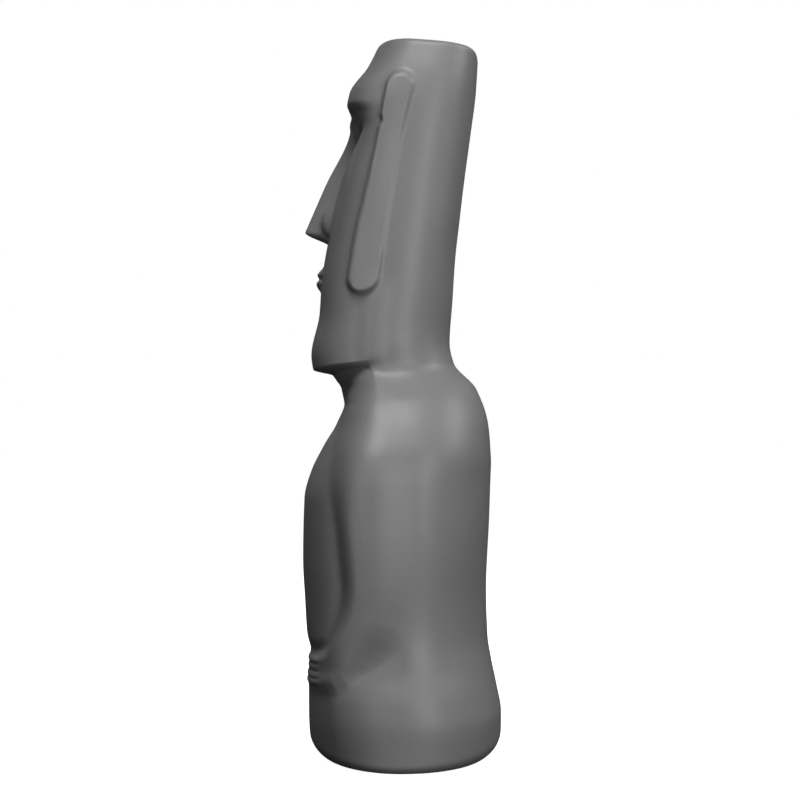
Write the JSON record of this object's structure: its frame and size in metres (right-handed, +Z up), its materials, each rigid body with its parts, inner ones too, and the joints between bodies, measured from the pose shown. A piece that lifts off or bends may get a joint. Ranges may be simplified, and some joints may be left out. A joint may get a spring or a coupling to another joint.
{
  "type": "moai stone statue",
  "caption": "Standing stone ancestor figure, head and body in one block, with long ears, arms in low relief and hands folded under the belly.",
  "frame": {"origin": "middle of the flat underside, on the surface that the statue stands on, centred on the statue's box in X and Y", "axes": "+Z up, the figure faces -Y, and its left hand side is +X"},
  "size_m": [1.6136, 1.1352, 4.0497],
  "materials": {
    "stone": "satin"
  },
  "bodies": {
    "root": {"moai_statue": "stone"}
  },
  "joints": []
}
